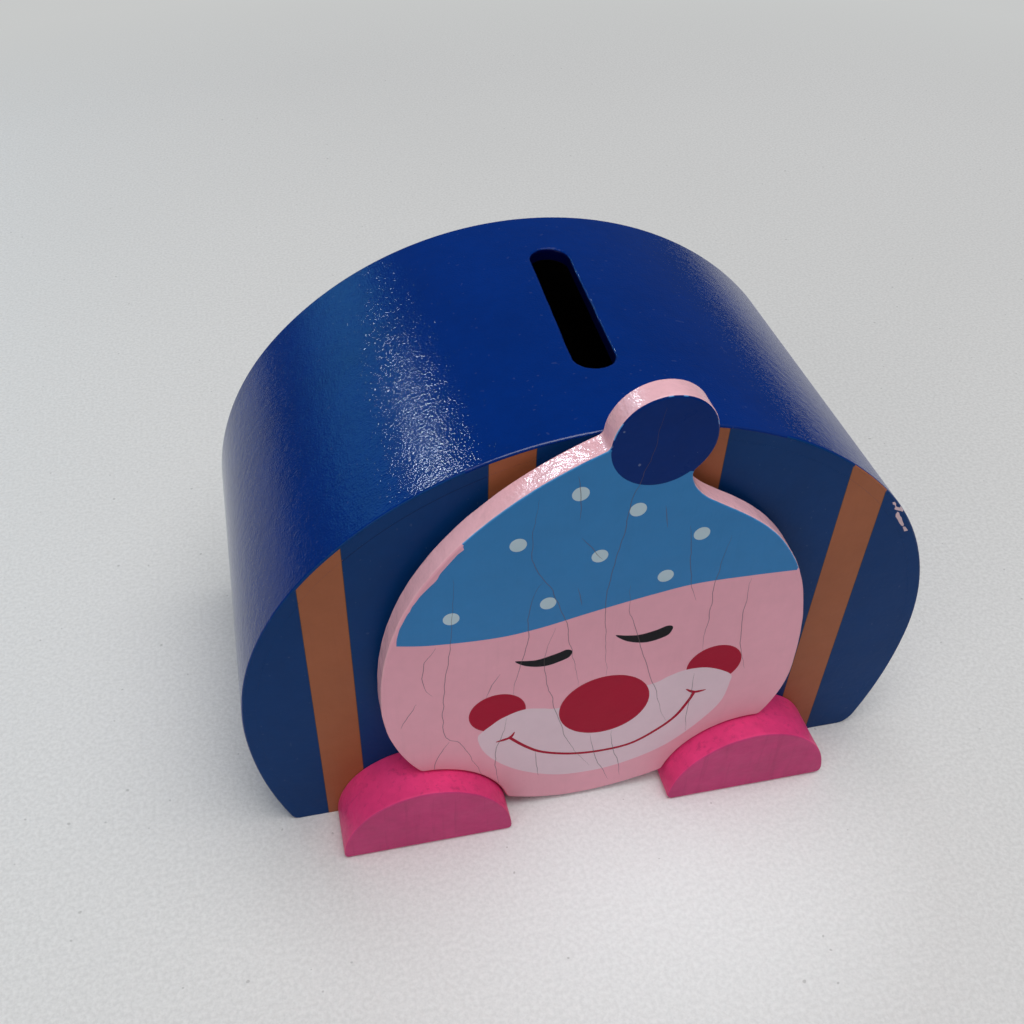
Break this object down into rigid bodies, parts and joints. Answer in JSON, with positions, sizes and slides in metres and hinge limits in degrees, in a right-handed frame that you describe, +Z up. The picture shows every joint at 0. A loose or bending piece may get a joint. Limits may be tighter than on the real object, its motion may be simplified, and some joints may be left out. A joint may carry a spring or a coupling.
{
  "type": "money box",
  "caption": "Arched wooden money box with a coin slot in its crown, a flat clown's head and half-round feet in front, and a pull-out stopper under its base.",
  "frame": {"origin": "on the ground, in the middle of the whole thing's width and depth", "axes": "+X to the right seen from the front, the clown's face looks towards -Y, +Z up"},
  "size_m": [0.1144, 0.0696, 0.0864],
  "materials": {
    "wall_paint": "gloss enamel over bent plywood",
    "panel_paint": "satin paint over board, with printed stripes in front",
    "bare_board": "bare",
    "head_paint": "satin paint with a printed cap and face",
    "foot_paint": "satin paint",
    "pad_foam": "matte foam",
    "stopper_plastic": "soft moulded plastic"
  },
  "bodies": {
    "box": {"arch_wall": "wall_paint", "front_panel": "panel_paint", "back_panel": "panel_paint", "base_panel": "bare_board", "head_plate": "head_paint", "head_pad": "pad_foam", "left_foot": "foot_paint", "right_foot": "foot_paint"},
    "stopper": {"stopper": "stopper_plastic"}
  },
  "joints": [
    {"name": "stopper_pull", "type": "slide", "parent": "box", "child": "stopper", "axis": [0, 0, -1], "range_m": [0, 0.02]}
  ]
}
